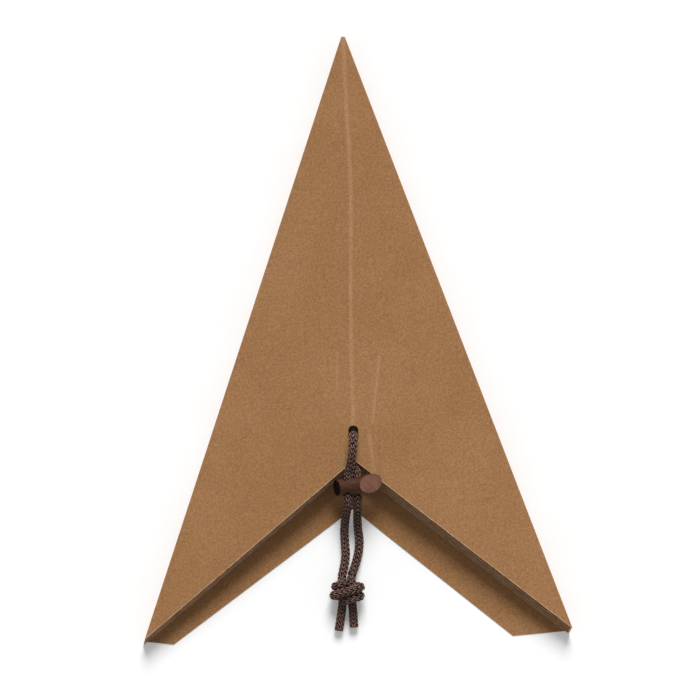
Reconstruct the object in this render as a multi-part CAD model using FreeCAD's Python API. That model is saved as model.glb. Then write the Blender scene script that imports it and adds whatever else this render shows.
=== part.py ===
"""Seven-point paper star, folded flat, with its cord and wooden toggle.

Each point of the star is one sheet of kraft board, folded into a flat dart-shaped pocket. The
pocket is closed along both long ridges and open at the notch. The seven pockets lie in a stack,
glued face to face beside the notch, and open like a fan about the line from corner to corner.

Axes: +Y from the notch to the tips, +X to the right seen from above, +Z up. The origin is on the
underside, straight below the notch corner of the top point. All sizes are in millimetres.
"""
import FreeCAD, Part
import math
import os

V = FreeCAD.Vector

# Star
tip_radius = 300.0          # opened star, from its axis to a tip
waist_radius = 86.7         # opened star, from its axis to the valley between two points
half_depth = 106.6          # half the front-to-back depth at the axis
point_count = 7

# Paper and folds
paper = 0.35                # board thickness
pocket_gap = 0.80           # air between the two panels of a pocket, at its ridges
fold_radius = 0.70          # outside of a ridge fold
tip_blunt = 0.9             # half the width of a tip
puff = 4.8                  # lift of the top panel's notch corner, where the cord props it up
slip = (-1.20, -3.40)       # the bottom point lies this far from the top one
slip_shares = (0.0, 0.11, 0.33, 0.42, 0.66, 0.77, 1.0)
flap_drop = 21.3            # closing flap of the bottom point, from the notch corner to its own corner
flap_slopes = (0.836, 0.716)  # of its right and left outer edges
flap_inset = 2.0            # the flap starts this far from the outer corners

# Cord hole in the top panel
hole_width = 5.0
hole_length = 8.3
hole_inset = 13.15          # from the notch corner to the middle of the hole

# Cord
cord_diameter = 4.6
cord_seat = 0.35            # air under the strand inside the top pocket
arc_share = 0.45            # part of the shorter run that each arc uses

# Knot and tails
knot_width = 18.6
knot_radius = 6.9
knot_middle = (-5.2, -65.6)
knot_stub = 7.0             # the part of each strand that belongs to the knot
tail_start = ((-7.6, -68.0), (-2.9, -68.0))
tail_end = ((-9.9, -85.5), (-2.2, -84.0))

# Toggle
toggle_length = 25.7
toggle_radius = 4.9
toggle_taper = 0.7          # the thin end is this much smaller in radius
toggle_centre = (0.0, -12.6)
toggle_yaw = 6.2            # its thick end is turned this far towards +Y
toggle_roll = 14.0          # and raised this far
toggle_seat = 0.15          # air under the thick end, where it rests on the top panel's edge
perch_x = 12.5              # x of that place
bore_radius = 2.80
bore_middle = -0.9          # x of the middle of the bore
bore_spacing = 4.4          # between the two strands, across
bore_drop = 0.3             # the middle of the bore lies this far below the toggle's own middle
bore_tilt = 0.6             # the left strand lies this much higher than the right one
long_facet_start = 3.5      # the long cut starts here on the top line, from the toggle's middle
long_facet_angle = 44.0
short_facet_start = -6.5
short_facet_angle = 55.0
facet_turn = 9.0            # the long cut faces this much towards -Y
edge_round = 0.5

# Derived sizes
point_length = tip_radius - waist_radius
ridge_length = math.hypot(tip_radius, half_depth)
point_height = 2 * paper + pocket_gap
cord_radius = cord_diameter / 2
notch_slope = waist_radius / half_depth
stack_height = point_count * point_height
thin_radius = toggle_radius - toggle_taper
half_toggle = toggle_length / 2
roll = math.radians(toggle_roll)


def polygon(corners, height):
    """A flat face through (x, y) corners."""
    points = [V(x, y, height) for x, y in corners]
    return Part.Face(Part.makePolygon(points + points[:1]))


def plate(corners, bottom, thickness):
    return polygon(corners, bottom).extrude(V(0, 0, thickness))


def prism(corners, bottom, tops):
    """An upright solid with a flat base and a sloping top, whose height is given at each corner."""
    low = [V(x, y, bottom) for x, y in corners]
    high = [V(x, y, z) for (x, y), z in zip(corners, tops)]
    walls = [
        [low[i - 1], low[i], high[i], high[i - 1]]
        for i in range(len(corners))
    ]
    faces = [Part.Face(Part.makePolygon(ring + ring[:1])) for ring in [low, high] + walls]
    return Part.makeSolid(Part.makeShell(faces))


def ridge_distance(x, y):
    """How far a place on the dart is from its nearer ridge."""
    along_y = (point_length - y) * half_depth
    return (along_y - abs(x) * tip_radius) / ridge_length


def lift(x, y, rise):
    """How far a tented top panel stands above its ridges."""
    return rise * ridge_distance(x, y) / ridge_distance(0.0, 0.0)


# Heights of the toggle and its bore, from the panel edge that the thick end rests on
perch_height = stack_height + lift(perch_x, -perch_x * notch_slope, puff)
toggle_rise = toggle_radius * math.cos(roll) - half_toggle * math.sin(roll)
toggle_height = perch_height + toggle_seat + toggle_rise
bore_height = toggle_height - bore_drop
left_strand = (bore_middle - bore_spacing / 2, bore_height + bore_tilt / 2)
right_strand = (bore_middle + bore_spacing / 2, bore_height - bore_tilt / 2)
inner_strand = (point_count - 1) * point_height + paper + cord_radius + cord_seat

# The cord's route, from the knot through the toggle, round the edge of the hole and back
cord_route = [
    (-2.9, -58.0, 4.6),
    (0.2, -50.5, 2.5),
    (1.9, -41.5, 2.4),
    (0.7, -32.5, 4.0),
    (right_strand[0], -19.8, right_strand[1]),
    (right_strand[0], -7.2, right_strand[1]),
    (0.1, -2.6, inner_strand),
    (0.0, 12.4, inner_strand),
    (0.0, 12.4, inner_strand + 10.3),
    (-0.8, 2.1, inner_strand + 10.3),
    (left_strand[0], -6.8, left_strand[1]),
    (left_strand[0], -19.8, left_strand[1]),
    (-5.8, -32.5, 4.0),
    (-5.7, -41.5, 2.5),
    (-5.2, -49.5, 2.5),
    (-7.6, -58.0, 4.6),
]


def tented(corners, bottom, eaves, rise):
    """Both halves of a tented solid, from the corners of its right half."""
    halves = []
    for side in (1, -1):
        mirrored = [(side * x, y) for x, y in corners]
        tops = [eaves + lift(x, y, rise) for x, y in mirrored]
        halves.append(prism(mirrored, bottom, tops))
    return halves[0].fuse(halves[1]).removeSplitter()


def dart_half():
    """The right half of a dart: notch corner, outer corner and blunt tip."""
    blunt_y = point_length - tip_blunt * tip_radius / half_depth
    return [(0.0, 0.0), (half_depth, -waist_radius), (tip_blunt, blunt_y), (0.0, blunt_y)]


def pocket_half():
    """The right half of the space inside a pocket, run out past the notch."""
    top_y = point_length - paper * ridge_length / half_depth
    low_y = -waist_radius - 1.0
    low_x = (top_y - low_y) * half_depth / tip_radius
    return [(0.0, low_y), (low_x, low_y), (0.0, top_y)]


def is_ridge(edge):
    ends = [vertex.Point for vertex in edge.Vertexes]
    near = [abs(ridge_distance(p.x, p.y)) < 0.01 for p in ends]
    return all(near) and edge.Length > 0.5 * tip_radius


def folded_point(rise):
    """One sheet folded into a pocket that is open at the notch."""
    outside = tented(dart_half(), 0.0, point_height, rise)
    ridges = [edge for edge in outside.Edges if is_ridge(edge)]
    outside = outside.makeFillet(fold_radius, ridges)
    inside = tented(pocket_half(), paper, paper + pocket_gap, rise)
    return outside.cut(inside)


def cord_hole():
    """The punched hole, as a tool that reaches only the upper panel."""
    straight = hole_length - hole_width
    low = paper + pocket_gap / 2
    height = 3 * puff + point_height
    slot = Part.makeBox(hole_width, straight, height, V(-hole_width / 2, hole_inset - straight / 2, low))
    for end in (-1, 1):
        centre = V(0, hole_inset + end * straight / 2, low)
        slot = slot.fuse(Part.makeCylinder(hole_width / 2, height, centre))
    return slot


def closing_flap():
    """The V-shaped flap that runs on from the bottom panel past both edges of the notch."""
    right_x, left_x = [(waist_radius - flap_drop) / slope for slope in flap_slopes]
    start_x = half_depth - flap_inset
    start_y = -start_x * notch_slope
    corners = [
        (0.0, flap_inset),
        (start_x, start_y),
        (right_x, -waist_radius),
        (0.0, -flap_drop),
        (-left_x, -waist_radius),
        (-start_x, start_y),
    ]
    return plate(corners, 0.0, paper)


def star_point(number):
    """One point of the star in its place: 1 is the top of the stack."""
    share = slip_shares[number - 1]
    shape = folded_point(puff if number == 1 else 0.0)
    if number == 1:
        shape = shape.cut(cord_hole())
    if number == point_count:
        shape = shape.fuse(closing_flap()).removeSplitter()
    height = (point_count - number) * point_height
    shape.translate(V(slip[0] * share, slip[1] * share, height))
    return shape


def arc_parts(before, corner, after):
    """The two tangent places and the radius of the arc at a corner of the route."""
    into = before - corner
    out = after - corner
    reach = arc_share * min(into.Length, out.Length)
    half_turn = (math.pi - into.getAngle(out)) / 2
    start = corner + V(into).normalize() * reach
    end = corner + V(out).normalize() * reach
    return start, end, reach / math.tan(half_turn), half_turn


def route_wire(route):
    """Straight runs joined by tangent arcs."""
    points = [V(*p) for p in route]
    edges = []
    radii = []
    last = points[0]
    for before, corner, after in zip(points, points[1:], points[2:]):
        start, end, radius, half_turn = arc_parts(before, corner, after)
        towards_centre = ((start + end) / 2 - corner).normalize()
        middle = corner + towards_centre * (radius / math.cos(half_turn) - radius)
        edges.append(Part.makeLine(last, start))
        edges.append(Part.Arc(start, middle, end).toShape())
        radii.append(radius)
        last = end
    edges.append(Part.makeLine(last, points[-1]))
    return Part.Wire(edges), radii


def run_direction(start, end):
    return (V(*end) - V(*start)).normalize()


def cord_tube():
    """The cord from the knot, round through the star and back to the knot."""
    spine, radii = route_wire(cord_route)
    section = Part.makeCircle(cord_radius, V(*cord_route[0]), run_direction(*cord_route[:2]))
    tube = spine.makePipeShell([Part.Wire([section])], True, True)
    ideal = math.pi * cord_radius**2 * spine.Length
    print("cord length", round(spine.Length, 1), "volume share", round(tube.Volume / ideal, 4))
    print("cord radii", [round(radius, 1) for radius in radii])
    return tube


def cord_knot():
    """The overhand knot that joins both strands, with its two short tails."""
    left = V(knot_middle[0] - knot_width / 2 + knot_radius, knot_middle[1], knot_radius)
    right = left + V(knot_width - 2 * knot_radius, 0, 0)
    knot = Part.makeCylinder(knot_radius, (right - left).x, left, V(1, 0, 0))
    for middle in (left, right):
        knot = knot.fuse(Part.makeSphere(knot_radius, middle))
    ends = [(cord_route[0], cord_route[1]), (cord_route[-1], cord_route[-2])]
    for end, inner in ends:
        knot = knot.fuse(Part.makeCylinder(cord_radius, knot_stub, V(*end), run_direction(inner, end)))
    for start, end in zip(tail_start, tail_end):
        base = V(*start, cord_radius)
        along = V(*end, cord_radius) - base
        knot = knot.fuse(Part.makeCylinder(cord_radius, along.Length, base, along))
    return knot


def half_space(point, normal):
    """A block that fills everything on the outer side of a plane, near the toggle."""
    size = 4 * toggle_length
    block = Part.makeBox(size, size, size, V(-size / 2, -size / 2, 0))
    block.Placement = FreeCAD.Placement(point, FreeCAD.Rotation(V(0, 0, 1), normal))
    return block


def toggle_body():
    """A tapered peg with an oblique cut at each end, lying along X."""
    start = V(-half_toggle, 0, 0)
    body = Part.makeCone(thin_radius, toggle_radius, toggle_length, start, V(1, 0, 0))
    long_angle = math.radians(long_facet_angle)
    turn = math.radians(facet_turn)
    long_normal = V(
        math.sin(long_angle) * math.cos(turn),
        -math.sin(long_angle) * math.sin(turn),
        math.cos(long_angle),
    )
    short_angle = math.radians(short_facet_angle)
    short_normal = V(-math.sin(short_angle), 0, math.cos(short_angle))
    body = body.cut(half_space(V(long_facet_start, 0, toggle_radius), long_normal))
    body = body.cut(half_space(V(short_facet_start, 0, thin_radius), short_normal))
    rims = [edge for edge in body.Edges if not isinstance(edge.Curve, Part.Line)]
    return body.makeFillet(edge_round, rims)


def toggle_bore():
    """The cross hole: one slot for both strands, along Y."""
    length = 4 * toggle_radius
    start_y = toggle_centre[1] - length / 2
    places = [V(x, start_y, z) for x, z in (left_strand, right_strand)]
    across = places[1] - places[0]
    side = V(across.z, 0, -across.x).normalize() * bore_radius
    ring = [places[0] + side, places[1] + side, places[1] - side, places[0] - side]
    slot = Part.Face(Part.makePolygon(ring + ring[:1])).extrude(V(0, length, 0))
    for place in places:
        slot = slot.fuse(Part.makeCylinder(bore_radius, length, place, V(0, 1, 0)))
    return slot


def toggle():
    body = toggle_body()
    body.rotate(V(0, 0, 0), V(0, -1, 0), toggle_roll)
    body.rotate(V(0, 0, 0), V(0, 0, 1), toggle_yaw)
    body.translate(V(*toggle_centre, toggle_height))
    return body.cut(toggle_bore())


def main():
    os.makedirs("parts", exist_ok=True)
    nodes = {f"star_point_{number}": star_point(number) for number in range(1, point_count + 1)}
    nodes["toggle"] = toggle()
    nodes["cord"] = cord_tube()
    nodes["cord_knot"] = cord_knot()
    for name, shape in nodes.items():
        print(name, shape.isValid(), len(shape.Solids), round(shape.Volume, 1))
        shape.exportStep(f"parts/{name}.step")


main()
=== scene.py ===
"""Folded paper star with a braided cord and a wooden toggle: looks, light and camera."""
import bpy
import math
import random
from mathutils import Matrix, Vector


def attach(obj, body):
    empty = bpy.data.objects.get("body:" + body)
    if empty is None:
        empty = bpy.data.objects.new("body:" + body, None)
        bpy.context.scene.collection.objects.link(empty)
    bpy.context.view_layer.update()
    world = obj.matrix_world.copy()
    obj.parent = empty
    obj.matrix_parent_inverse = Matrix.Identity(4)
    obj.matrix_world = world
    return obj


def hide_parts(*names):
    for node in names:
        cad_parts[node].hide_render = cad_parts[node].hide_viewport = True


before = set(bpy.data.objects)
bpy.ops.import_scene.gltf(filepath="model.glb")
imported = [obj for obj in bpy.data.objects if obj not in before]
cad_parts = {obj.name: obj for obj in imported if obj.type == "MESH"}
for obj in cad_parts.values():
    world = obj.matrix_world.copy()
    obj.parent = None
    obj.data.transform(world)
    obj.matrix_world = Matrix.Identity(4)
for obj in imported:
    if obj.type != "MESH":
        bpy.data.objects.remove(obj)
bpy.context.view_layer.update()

MM = 0.001

# Camera, straight above the star
CAMERA_DISTANCE = 2.4
CAMERA_ROLL = -1.5
SENSOR_WIDTH = 36.0
VIEW_WIDTH = 0.3488
VIEW_MIDDLE = (-0.6, 54.8, 8.0)

# Floor and light
FLOOR_REACH = 4.0
FLOOR_HEIGHT = -0.02
FLOOR_GLOW = 0.16
DOME_STRENGTH = 0.34
KEY_STRENGTH = 3.3
KEY_ANGLE = 26
KEY_DIRECTION = (0.08, 0.78, 0.62)

# How far each point of the stack lies from the top one, and the slope of its notch
SLIP = (-1.20, -3.40)
SLIP_SHARES = (0.0, 0.11, 0.33, 0.42, 0.66, 0.77, 1.0)
NOTCH_SLOPE = 0.8133

# Board colours, and its short flecks as turn, colour, threshold and strength
BOARD_DARK = (0.318, 0.157, 0.062, 1.0)
BOARD_LIGHT = (0.346, 0.176, 0.074, 1.0)
SPECK = (0.09, 0.04, 0.02, 1.0)
# Pale cut edge: the paper's own paler cut, with a painted highlight where the edges catch the light
CUT_EDGE_AND_HIGHLIGHT = (0.66, 0.47, 0.32, 1.0)
CREASE = (0.62, 0.43, 0.28, 1.0)
FLECK_PALE = (0.50, 0.31, 0.17, 1.0)
FLECK_DARK = (0.17, 0.075, 0.03, 1.0)
FLECK_SCALE = (520.0, 1500.0, 900.0)
FLECKS = (
    (0.4, FLECK_DARK, 0.64, 0.45),
    (1.7, FLECK_PALE, 0.63, 0.3),
    (2.6, FLECK_DARK, 0.66, 0.45),
    (2.1, FLECK_PALE, 0.66, 0.3),
)

# The top point's long middle crease, which bows a little, and its short creases with their strengths
BOW_MIDDLE = 135.0 * MM
BOW_REACH = 45.0 * MM
BOW_DEPTH = 1.8 * MM
LONG_CREASE_STRENGTH = 0.24
SHORT_CREASES = (
    ((14.3, 54.4), (9.4, 17.2), 0.2),
    ((7.8, 14.7), (9.7, -7.8), 0.22),
    ((-7.0, 56.5), (-7.7, 33.0), 0.12),
)

# Yarn colours
YARN_DARK = (0.050, 0.025, 0.018, 1.0)
YARN_LIGHT = (0.205, 0.118, 0.093, 1.0)
YARN_FUZZ = (0.27, 0.175, 0.142, 1.0)

# Wood colours, the peg's turn, and each cut as the tilt and turn of its face and its two colours
WOOD_DARK = (0.038, 0.012, 0.005, 1.0)
WOOD_LIGHT = (0.088, 0.029, 0.012, 1.0)
# Painted highlight along the rims of the cuts
WOOD_RIM_HIGHLIGHT = (0.30, 0.17, 0.115, 1.0)
WOOD_SHADED_CUT = (0.018, 0.008, 0.005, 1.0)
CUT_PORES = (0.130, 0.060, 0.038, 1.0)
CUT_PALE = (0.215, 0.102, 0.066, 1.0)
CUT_STREAK = (0.27, 0.135, 0.095, 1.0)
PEG_TURN = 6.2
PALE_CUT = (30.0, -3.0)
SHADED_CUT = (-69.0, 6.2)
# A small grey dot on the peg's side: its colour, place, and inner and outer radius
GREY_DOT = (0.060, 0.050, 0.048, 1.0)
GREY_DOT_PLACE = (-0.1, -11.3)
GREY_DOT_INNER = 0.316 * MM
GREY_DOT_OUTER = 0.632 * MM

# Cord: a core painted near black as the shade between rows of slanting bundles
DIAMETER = 4.6 * MM
CORE_RADIUS = 0.34 * DIAMETER
CORE_SIDES = 8
CORE_STEP = 1.6 * MM
# The core's shade value paints it near black as the shade between the bundles; the caps' values leave
# them paler
CORE_SHADE = -3.0
CORE_FIBRE = (0.0, 0.0, 0.0)
CAP_SHADE = -1.3
CAP_FIBRE = (0.0, 0.0, 0.5)
BRAID_COLUMNS = 6
BRAID_PITCH = 2.3 * MM
STEPS_PER_ROW = 6
BUNDLE_RINGS = 7
BUNDLE_SIDES = 6
BUNDLE_REACH = 3.3
BUNDLE_SLANT = 0.24
BUNDLE_WIDTH = 0.17
BUNDLE_HEIGHT = 0.19
SPLINE_STEPS = 24

# The cord's route, from the knot through the toggle, round the edge of the hole and back
ROUTE = [
    (-2.9, -58.0, 4.6),
    (0.2, -50.5, 2.5),
    (1.9, -41.5, 2.4),
    (0.7, -32.5, 4.0),
    (1.3, -19.8, 15.9),
    (1.3, -7.2, 15.9),
    (0.1, -2.6, 12.0),
    (0.0, 12.4, 12.0),
    (0.0, 12.4, 22.3),
    (-0.8, 2.1, 22.3),
    (-3.1, -6.8, 16.5),
    (-3.1, -19.8, 16.5),
    (-5.8, -32.5, 4.0),
    (-5.7, -41.5, 2.5),
    (-5.2, -49.5, 2.5),
    (-7.6, -58.0, 4.6),
]

# Each strand through the knot and out to its tail
KNOT_STRANDS = [
    [
        (-7.6, -58.0, 4.6),
        (-7.5, -61.0, 6.2),
        (-7.5, -65.5, 7.2),
        (-7.5, -70.0, 6.0),
        (-8.0, -75.0, 2.6),
        (-9.9, -85.2, 2.4),
    ],
    [
        (-2.9, -58.0, 4.6),
        (-2.9, -61.0, 6.2),
        (-2.9, -65.5, 7.2),
        (-2.9, -70.0, 6.0),
        (-2.5, -75.0, 2.6),
        (-2.2, -83.7, 2.4),
    ],
]

# The cord's turns round both strands, whose ends tuck in between them
KNOT_MIDDLE = (-5.2, -65.6, 7.0)
BAND_POINTS = 40
BAND_TURNS = 2.1
BAND_LENGTH = 9.2
BAND_SLANT = 0.12
BAND_TUCKED = (2.2, 0.8)
BAND_OUTWARD = (4.7, 3.8)


def linked(name, data):
    """A new object in the scene."""
    obj = bpy.data.objects.new(name, data)
    bpy.context.collection.objects.link(obj)
    return obj


def length_of(points):
    """How long the line through the points is."""
    return sum((after - before).length for before, after in zip(points, points[1:]))


def spline_points(name, route, resolution):
    """Points along the smooth curve of a route in millimetres, given back in metres."""
    curve = bpy.data.curves.new(name, "CURVE")
    curve.dimensions = "3D"
    spline = curve.splines.new("NURBS")
    spline.points.add(len(route) - 1)
    for point, place in zip(spline.points, route):
        point.co = (place[0] * MM, place[1] * MM, place[2] * MM, 1.0)
    spline.order_u = 3
    spline.use_endpoint_u = True
    spline.resolution_u = resolution
    obj = linked(name, curve)
    bpy.context.view_layer.update()
    mesh = bpy.data.meshes.new_from_object(obj)
    points = [vertex.co.copy() for vertex in mesh.vertices]
    bpy.data.meshes.remove(mesh)
    bpy.data.objects.remove(obj)
    bpy.data.curves.remove(curve)
    return points


def evenly(points, step):
    """The same line with points at an even spacing close to step."""
    travelled = [0.0]
    for before, after in zip(points, points[1:]):
        travelled.append(travelled[-1] + (after - before).length)
    count = max(2, round(travelled[-1] / step))
    result = []
    place = 0
    for index in range(count + 1):
        target = travelled[-1] * index / count
        while place < len(points) - 2 and travelled[place + 1] < target:
            place += 1
        span = travelled[place + 1] - travelled[place]
        share = (target - travelled[place]) / span if span else 0.0
        result.append(points[place].lerp(points[place + 1], share))
    return result


def frames_along(points):
    """A tangent and two side directions at every point, with no sudden turn."""
    frames = []
    side = None
    for index, point in enumerate(points):
        before = points[max(index - 1, 0)]
        after = points[min(index + 1, len(points) - 1)]
        tangent = (after - before).normalized()
        if side is None:
            side = tangent.cross(Vector((0.0, 0.0, 1.0))).normalized()
        side = (side - tangent * side.dot(tangent)).normalized()
        frames.append((point, tangent, side, tangent.cross(side)))
    return frames


def frame_at(frames, position):
    """The frame between two neighbours, or the end one where the position lies past it."""
    low = max(0, min(len(frames) - 1, math.floor(position)))
    high = min(low + 1, len(frames) - 1)
    mix = max(0.0, min(1.0, position - low))
    centre = frames[low][0].lerp(frames[high][0], mix)
    side = frames[low][2].lerp(frames[high][2], mix).normalized()
    up = frames[low][3].lerp(frames[high][3], mix).normalized()
    return centre, frames[low][1], side, up


def knot_band():
    """The route of the slanting turns round both strands of the knot."""
    places = []
    for index in range(BAND_POINTS + 1):
        share = index / BAND_POINTS
        turn = 2 * math.pi * (0.25 + BAND_TURNS * share)
        tuck = min(1.0, 6 * share, 6 * (1 - share))
        wide = BAND_TUCKED[0] + BAND_OUTWARD[0] * tuck
        high = BAND_TUCKED[1] + BAND_OUTWARD[1] * tuck
        x = wide * math.cos(turn)
        places.append((
            KNOT_MIDDLE[0] + x,
            KNOT_MIDDLE[1] + BAND_LENGTH * (0.5 - share) + BAND_SLANT * x,
            KNOT_MIDDLE[2] + high * math.sin(turn),
        ))
    return places


class Builder:
    """Collects the vertices, faces, shades and fibre coordinates of one mesh."""

    def __init__(self):
        self.vertices = []
        self.faces = []
        self.shades = []
        self.fibres = []

    def add(self, vertices, faces, shade, fibres):
        first = len(self.vertices)
        self.vertices += vertices
        self.faces += [tuple(first + corner for corner in face) for face in faces]
        self.shades += [shade] * len(vertices)
        self.fibres += fibres

    def finish(self, name, material):
        mesh = bpy.data.meshes.new(name)
        mesh.from_pydata(self.vertices, [], self.faces)
        shade = mesh.attributes.new("shade", "FLOAT", "POINT")
        shade.data.foreach_set("value", self.shades)
        fibre = mesh.attributes.new("fibre", "FLOAT_VECTOR", "POINT")
        fibre.data.foreach_set("vector", [value for item in self.fibres for value in item])
        mesh.shade_smooth()
        mesh.materials.append(material)
        return linked(name, mesh)


def ring_faces(rings, around):
    """Quads that join each ring of vertices to the next one."""
    faces = []
    for ring in range(rings - 1):
        for corner in range(around):
            low = ring * around
            following = (corner + 1) % around
            faces.append((low + corner, low + following, low + around + following, low + around + corner))
    return faces


def add_core(builder, points, radius, sides):
    """The tube that shows between the bundles, painted near black as the shade there, with a paler cap at
    each end.
    """
    vertices = []
    for point, _, side, up in frames_along(points):
        for corner in range(sides):
            turn = 2 * math.pi * corner / sides
            vertices.append(point + (side * math.cos(turn) + up * math.sin(turn)) * radius)
    builder.add(vertices, ring_faces(len(points), sides), CORE_SHADE, [CORE_FIBRE] * len(vertices))
    for end, way in ((vertices[:sides], -1), (vertices[-sides:], 1)):
        builder.add(end, [tuple(range(sides))[::way]], CAP_SHADE, [CAP_FIBRE] * sides)


def bundle(frames, middle, angle, hand, radius, columns):
    """The vertices of one slanting bundle on the cord's surface, and the fibre coordinates at each, whose
    third one sets the painted highlight on its crest and the painted shade on its flanks.
    """
    vertices = []
    fibres = []
    for ring in range(BUNDLE_RINGS):
        share = ring / (BUNDLE_RINGS - 1) * 2 - 1
        centre, tangent, side, up = frame_at(frames, middle + share * BUNDLE_REACH)
        turn = angle - hand * share * BUNDLE_SLANT * 2 * math.pi / columns
        bulge = math.sqrt(max(0.0, 1 - (abs(share) * 0.97) ** 2.4))
        out = side * math.cos(turn) + up * math.sin(turn)
        across = out.cross(tangent).normalized()
        dip = radius * (0.81 - 0.08 * share * share + 0.05 * share)
        for corner in range(BUNDLE_SIDES):
            place = 2 * math.pi * corner / BUNDLE_SIDES
            wide = math.cos(place) * radius * BUNDLE_WIDTH * bulge
            high = math.sin(place) * radius * BUNDLE_HEIGHT * bulge
            vertices.append(centre + out * (dip + high) + across * wide)
            # The third fibre coordinate, the height across the bundle, paints its crest light and its
            # flanks dark
            fibres.append((corner / BUNDLE_SIDES, share, math.sin(place) * bulge))
    return vertices, fibres


def add_braid(builder, points, radius, columns, pitch, seed):
    """The plaited surface of a cord: rows of slanting bundles, two to a chevron."""
    chance = random.Random(seed)
    travelled = length_of(points)
    rows = max(1, round(travelled / pitch))
    frames = frames_along(evenly(points, travelled / (rows * STEPS_PER_ROW)))
    last = (BUNDLE_RINGS - 1) * BUNDLE_SIDES
    faces = ring_faces(BUNDLE_RINGS, BUNDLE_SIDES)
    faces.append(tuple(range(BUNDLE_SIDES))[::-1])
    faces.append(tuple(range(last, last + BUNDLE_SIDES)))
    for row in range(rows):
        for column in range(columns):
            for hand in (-1, 1):
                angle = 2 * math.pi * (column + 0.5 + hand * BUNDLE_SLANT) / columns
                shade = chance.uniform(-1.0, 1.0)
                wobble = chance.uniform(-0.06, 0.06)
                middle = (row + 0.5 + 0.5 * (column % 2) + wobble) * STEPS_PER_ROW
                vertices, fibres = bundle(frames, middle, angle, hand, radius, columns)
                builder.add(vertices, faces, shade, fibres)


def add_cord(builder, points, seed):
    """One length of plaited cord along a line of points."""
    add_core(builder, evenly(points, CORE_STEP), CORE_RADIUS, CORE_SIDES)
    add_braid(builder, points, DIAMETER / 2, BRAID_COLUMNS, BRAID_PITCH, seed)


class Shader:
    """A material with short ways to add nodes to it."""

    def __init__(self, name):
        self.material = bpy.data.materials.new(name)
        self.material.use_nodes = True
        self.tree = self.material.node_tree
        self.nodes = self.tree.nodes
        self.surface = self.nodes["Principled BSDF"]

    def put(self, kind, settings=None, inputs=None):
        node = self.nodes.new(kind)
        for key, value in (settings or {}).items():
            setattr(node, key, value)
        for key, value in (inputs or {}).items():
            self.feed(node.inputs[key], value)
        return node

    def feed(self, socket, value):
        if isinstance(value, bpy.types.NodeSocket):
            self.tree.links.new(value, socket)
        else:
            socket.default_value = value

    def coat(self, colour, roughness, specular):
        """The surface's colour, roughness and sheen."""
        self.feed(self.surface.inputs["Base Color"], colour)
        self.feed(self.surface.inputs["Roughness"], roughness)
        self.feed(self.surface.inputs["Specular IOR Level"], specular)

    def bump(self, height, distance, strength):
        inputs = {"Height": height, "Distance": distance, "Strength": strength}
        self.feed(self.surface.inputs["Normal"], self.put("ShaderNodeBump", None, inputs).outputs[0])

    def math(self, operation, first, second=0.0):
        return self.put("ShaderNodeMath", {"operation": operation}, {0: first, 1: second}).outputs[0]

    def ramp(self, value, low, high, start=0.0, end=1.0):
        inputs = {"Value": value, "From Min": low, "From Max": high, "To Min": start, "To Max": end}
        settings = {"interpolation_type": "SMOOTHSTEP"}
        return self.put("ShaderNodeMapRange", settings, inputs).outputs["Result"]

    def mix(self, share, first, second, blend="MIX"):
        node = self.put("ShaderNodeMix", {"data_type": "RGBA", "blend_type": blend})
        self.feed(node.inputs["Factor"], share)
        self.feed(node.inputs[6], first)
        self.feed(node.inputs[7], second)
        return node.outputs[2]

    def grey(self, value):
        return self.put("ShaderNodeCombineColor", None, {0: value, 1: value, 2: value}).outputs[0]

    def coordinates(self):
        return self.put("ShaderNodeTexCoord").outputs["Object"]

    def split(self, vector):
        return tuple(self.put("ShaderNodeSeparateXYZ", None, {0: vector}).outputs)

    def attribute(self, name, output):
        return self.put("ShaderNodeAttribute", {"attribute_name": name}).outputs[output]

    def stretched(self, vector, scale, turn):
        """Coordinates turned about Z and then scaled along each axis."""
        turned = self.put("ShaderNodeVectorRotate", {"rotation_type": "Z_AXIS"})
        self.feed(turned.inputs["Vector"], vector)
        self.feed(turned.inputs["Angle"], turn)
        inputs = {0: turned.outputs[0], 1: scale}
        return self.put("ShaderNodeVectorMath", {"operation": "MULTIPLY"}, inputs).outputs[0]

    def noise(self, vector, scale, detail, roughness):
        inputs = {"Vector": vector, "Scale": scale, "Detail": detail, "Roughness": roughness}
        return self.put("ShaderNodeTexNoise", None, inputs).outputs["Fac"]


def board_colour(shader, place, grain):
    """Clouded and grained brown, with short flecks and a few dark specks."""
    cloud = shader.noise(place, 28.0, 3.0, 0.6)
    colour = shader.mix(shader.ramp(cloud, 0.3, 0.7), BOARD_DARK, BOARD_LIGHT)
    shade = shader.grey(shader.ramp(grain, 0.28, 0.72, 0.74, 1.26))
    colour = shader.mix(1.0, colour, shade, "MULTIPLY")
    for turn, tint, low, strength in FLECKS:
        flecks = shader.noise(shader.stretched(place, FLECK_SCALE, turn), 1.0, 2.0, 0.6)
        colour = shader.mix(shader.ramp(flecks, low, low + 0.09, 0.0, strength), colour, tint)
    cells = shader.put("ShaderNodeTexVoronoi", None, {"Vector": place, "Scale": 60.0})
    speck = shader.ramp(cells.outputs["Distance"], 0.012, 0.028, 0.7, 0.0)
    return shader.mix(speck, colour, SPECK)


def notch_edge_wear_and_highlight_mask(shader, place, x, y, share):
    """Near 1 on the cut edge of the notch of a point that has slipped by its share, 0 away from it; the
    paper's paler cut and a painted highlight on it go there.
    """
    sideways = shader.math("ABSOLUTE", shader.math("SUBTRACT", x, SLIP[0] * share * MM))
    inward = shader.math("SUBTRACT", y, SLIP[1] * share * MM)
    inward = shader.math("ADD", inward, shader.math("MULTIPLY", sideways, NOTCH_SLOPE))
    inward = shader.math("MULTIPLY", inward, 1 / math.hypot(1.0, NOTCH_SLOPE))
    edge = shader.ramp(shader.math("ABSOLUTE", inward), 0.12 * MM, 0.45 * MM, 0.75, 0.0)
    patchiness = shader.ramp(shader.noise(place, 260.0, 3.0, 0.6), 0.3, 0.6, 0.3, 1.0)
    return shader.math("MULTIPLY", edge, patchiness)


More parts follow.
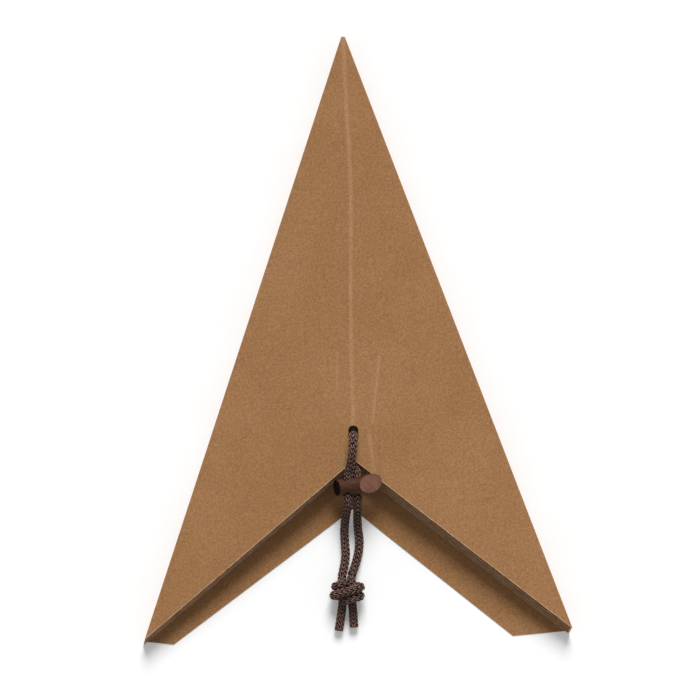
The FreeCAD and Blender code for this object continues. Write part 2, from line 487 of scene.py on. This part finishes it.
def long_crease_mask(shader, x, y):
    """1 on the middle crease, which bows sideways a little, 0 away from it."""
    run = shader.math("MULTIPLY", shader.math("SUBTRACT", y, BOW_MIDDLE), 1 / BOW_REACH)
    run = shader.math("MULTIPLY", shader.math("MULTIPLY", run, run), -1.0)
    bow = shader.math("MULTIPLY", shader.math("EXPONENT", run), BOW_DEPTH)
    off = shader.math("ABSOLUTE", shader.math("SUBTRACT", x, bow))
    return shader.ramp(off, 0.2 * MM, 1.6 * MM, 1.0, 0.0)


def short_crease_mask(shader, x, y, start, end):
    """1 on a straight crease between two places in millimetres, 0 away from it."""
    along = Vector((end[0] - start[0], end[1] - start[1])) * MM
    length = along.length
    along = along / length
    shifted_x = shader.math("SUBTRACT", x, start[0] * MM)
    shifted_y = shader.math("SUBTRACT", y, start[1] * MM)
    run = shader.math(
        "ADD",
        shader.math("MULTIPLY", shifted_x, along.x),
        shader.math("MULTIPLY", shifted_y, along.y),
    )
    off = shader.math(
        "SUBTRACT",
        shader.math("MULTIPLY", shifted_x, along.y),
        shader.math("MULTIPLY", shifted_y, along.x),
    )
    near = shader.ramp(shader.math("ABSOLUTE", off), 0.2 * MM, 1.3 * MM, 1.0, 0.0)
    begins = shader.ramp(run, -1.0 * MM, 4.0 * MM)
    ends = shader.ramp(run, length - 4.0 * MM, length + 1.0 * MM, 1.0, 0.0)
    return shader.math("MULTIPLY", near, shader.math("MULTIPLY", begins, ends))


def kraft(name, share):
    """Uncoated brown board of one point, with a pale cut edge carrying a painted highlight and, on the
    top one, creases.
    """
    shader = Shader(name)
    place = shader.coordinates()
    x, y, _ = shader.split(place)
    grain = shader.noise(place, 1000.0, 5.0, 0.75)
    height = grain
    colour = board_colour(shader, place, grain)
    # The pale cut edge, partly the paper's paler cut and partly a painted highlight
    colour = shader.mix(notch_edge_wear_and_highlight_mask(shader, place, x, y, share), colour, CUT_EDGE_AND_HIGHLIGHT)
    if share == 0.0:
        creases = [(long_crease_mask(shader, x, y), LONG_CREASE_STRENGTH)]
        for start, end, strength in SHORT_CREASES:
            creases.append((short_crease_mask(shader, x, y, start, end), strength))
        patchiness = shader.ramp(shader.noise(place, 700.0, 4.0, 0.7), 0.3, 0.62, 0.25, 1.0)
        for mask, strength in creases:
            mask = shader.math("MULTIPLY", mask, patchiness)
            colour = shader.mix(shader.math("MULTIPLY", mask, strength), colour, CREASE)
            height = shader.math("SUBTRACT", height, shader.math("MULTIPLY", mask, strength * 2.0))
    shader.coat(colour, 0.82, 0.2)
    shader.bump(height, 0.12 * MM, 0.8)
    return shader.material


def yarn():
    """Twisted cotton, with painted shade where the bundles meet and on their flanks, and a painted
    highlight on their crests.
    """
    shader = Shader("yarn")
    place = shader.coordinates()
    shade = shader.attribute("shade", "Fac")
    fibre = shader.attribute("fibre", "Vector")
    threads = shader.noise(shader.stretched(fibre, (9.0, 1.2, 7.0), 0.0), 1.6, 3.0, 0.6)
    fuzz = shader.noise(place, 2600.0, 3.0, 0.7)
    colour = shader.mix(shader.ramp(threads, 0.3, 0.7), YARN_DARK, YARN_LIGHT)
    colour = shader.mix(shader.ramp(fuzz, 0.55, 0.78, 0.0, 0.5), colour, YARN_FUZZ)
    bundle_tone = shader.ramp(shade, -1.0, 1.0, 0.78, 1.2)
    # Painted shade: the core turns near black where it shows between the bundles
    core_painted_shade = shader.ramp(shade, CORE_SHADE, -1.2, 0.03, 1.0)
    # Painted highlight on each bundle's crest, and painted shade on its flanks and on the core
    crest_highlight_and_flank_shade = shader.ramp(shader.split(fibre)[2], -0.2, 0.85, 0.14, 1.4)
    tone = shader.math("MULTIPLY", bundle_tone, shader.math("MULTIPLY", core_painted_shade, crest_highlight_and_flank_shade))
    colour = shader.mix(1.0, colour, shader.grey(tone), "MULTIPLY")
    shader.coat(colour, 0.6, 0.25)
    shader.bump(shader.math("ADD", threads, fuzz), 0.15 * MM, 0.8)
    return shader.material


def cut_facing(shader, normal, tilt, turn):
    """1 where the surface faces the way of a cut, less where it faces elsewhere."""
    lean = math.radians(tilt)
    around = math.radians(turn)
    way = (math.sin(lean) * math.cos(around), math.sin(lean) * math.sin(around), math.cos(lean))
    facing = shader.put("ShaderNodeVectorMath", {"operation": "DOT_PRODUCT"}, {0: normal, 1: way})
    return facing.outputs["Value"]


def grey_dot_mask(shader, place):
    """Strong on a small grey dot on the peg's side, 0 away from it."""
    x, y, _ = shader.split(place)
    x = shader.math("SUBTRACT", x, GREY_DOT_PLACE[0] * MM)
    y = shader.math("SUBTRACT", y, GREY_DOT_PLACE[1] * MM)
    square = shader.math("ADD", shader.math("MULTIPLY", x, x), shader.math("MULTIPLY", y, y))
    return shader.ramp(square, GREY_DOT_INNER ** 2, GREY_DOT_OUTER ** 2, 0.8, 0.0)


def timber():
    """Dark stained wood, with its grain along the peg and rougher cuts, one paler and one painted dark as
    shade, each with a painted highlight on its rim.
    """
    shader = Shader("timber")
    place = shader.coordinates()
    normal = shader.put("ShaderNodeNewGeometry").outputs["True Normal"]
    long_way = shader.stretched(place, (90.0, 900.0, 900.0), math.radians(-PEG_TURN))
    grain = shader.noise(long_way, 1.0, 5.0, 0.65)
    colour = shader.mix(shader.ramp(grain, 0.3, 0.7), WOOD_DARK, WOOD_LIGHT)
    pores = shader.ramp(shader.noise(place, 1800.0, 3.0, 0.7), 0.3, 0.7)
    streaks = shader.noise(shader.stretched(place, (150.0, 420.0, 300.0), 0.9), 1.0, 3.0, 0.6)
    pale_cut = shader.mix(pores, CUT_PORES, CUT_PALE)
    pale_cut = shader.mix(shader.ramp(streaks, 0.35, 0.65, 0.0, 0.5), pale_cut, CUT_STREAK)
    cuts = 0.0
    for (tilt, turn), cut_colour in ((PALE_CUT, pale_cut), (SHADED_CUT, WOOD_SHADED_CUT)):
        facing = cut_facing(shader, normal, tilt, turn)
        # A painted highlight rings each cut; the shaded cut's face is painted shade
        rim_highlight = shader.ramp(facing, 0.90, 0.955, 0.0, 0.45)
        face = shader.ramp(facing, 0.975, 0.993)
        colour = shader.mix(rim_highlight, colour, WOOD_RIM_HIGHLIGHT)
        colour = shader.mix(face, colour, cut_colour)
        cuts = shader.math("MAXIMUM", cuts, face)
    colour = shader.mix(grey_dot_mask(shader, place), colour, GREY_DOT)
    shader.coat(colour, shader.ramp(cuts, 0.0, 1.0, 0.5, 0.9), shader.ramp(cuts, 0.0, 1.0, 0.25, 0.04))
    shader.bump(grain, 0.2 * MM, 0.5)
    return shader.material


def floor_material():
    """A pale table top that the camera sees as white, with the object's shadow on it."""
    shader = Shader("table_top")
    rays = shader.put("ShaderNodeLightPath").outputs
    seen = shader.math("MAXIMUM", rays["Is Camera Ray"], rays["Is Glossy Ray"])
    seen = shader.math("MAXIMUM", seen, rays["Is Transmission Ray"])
    grain = shader.noise(shader.coordinates(), 30.0, 2.0, 0.5)
    shader.coat(shader.grey(shader.ramp(grain, 0.2, 0.8, 0.86, 0.88)), 0.9, 0.1)
    shader.feed(shader.surface.inputs["Emission Color"], (1.0, 1.0, 1.0, 1.0))
    shader.feed(shader.surface.inputs["Emission Strength"], shader.math("MULTIPLY", seen, FLOOR_GLOW))
    return shader.material


def paint(node_name, material):
    """Gives one solid of the model its only material."""
    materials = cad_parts[node_name].data.materials
    materials.clear()
    materials.append(material)


# Camera
camera = linked("camera", bpy.data.cameras.new("camera"))
camera.data.sensor_width = SENSOR_WIDTH
camera.data.lens = SENSOR_WIDTH * CAMERA_DISTANCE / VIEW_WIDTH
camera.location = Vector(VIEW_MIDDLE) * MM + Vector((0.0, 0.0, CAMERA_DISTANCE))
camera.rotation_euler = (0.0, 0.0, math.radians(CAMERA_ROLL))
bpy.context.scene.camera = camera

# Floor
floor = linked("floor", bpy.data.meshes.new("floor"))
corners = [(-1, -1), (1, -1), (1, 1), (-1, 1)]
floor.data.from_pydata(
    [(x * FLOOR_REACH, y * FLOOR_REACH, FLOOR_HEIGHT * MM) for x, y in corners],
    [],
    [(0, 1, 2, 3)],
)
floor.data.materials.append(floor_material())

# Light: an even dome and one soft key from the far side
world = bpy.data.worlds.new("studio")
bpy.context.scene.world = world
world.use_nodes = True
world.node_tree.nodes["Background"].inputs["Color"].default_value = (1.0, 1.0, 1.0, 1.0)
world.node_tree.nodes["Background"].inputs["Strength"].default_value = DOME_STRENGTH
key = linked("key", bpy.data.lights.new("key", "SUN"))
key.data.energy = KEY_STRENGTH
key.data.angle = math.radians(KEY_ANGLE)
key.rotation_euler = Vector(KEY_DIRECTION).to_track_quat("Z", "Y").to_euler()
bpy.context.scene.view_settings.view_transform = "Standard"

# Paper and toggle
for number, share in enumerate(SLIP_SHARES, 1):
    paint(f"star_point_{number}", kraft(f"board_{number}", share))
paint("toggle", timber())

# Cord loop
yarn_material = yarn()
line = spline_points("route", ROUTE, SPLINE_STEPS)
builder = Builder()
add_cord(builder, line, 4)
cord = builder.finish("braided_cord", yarn_material)
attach(cord, "root")
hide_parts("cord")

# Knot and tails
builder = Builder()
for number, route in enumerate(KNOT_STRANDS + [knot_band()]):
    add_cord(builder, spline_points("knot_route", route, SPLINE_STEPS), 10 + number)
knot = builder.finish("knot", yarn_material)
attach(knot, "root")
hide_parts("cord_knot")
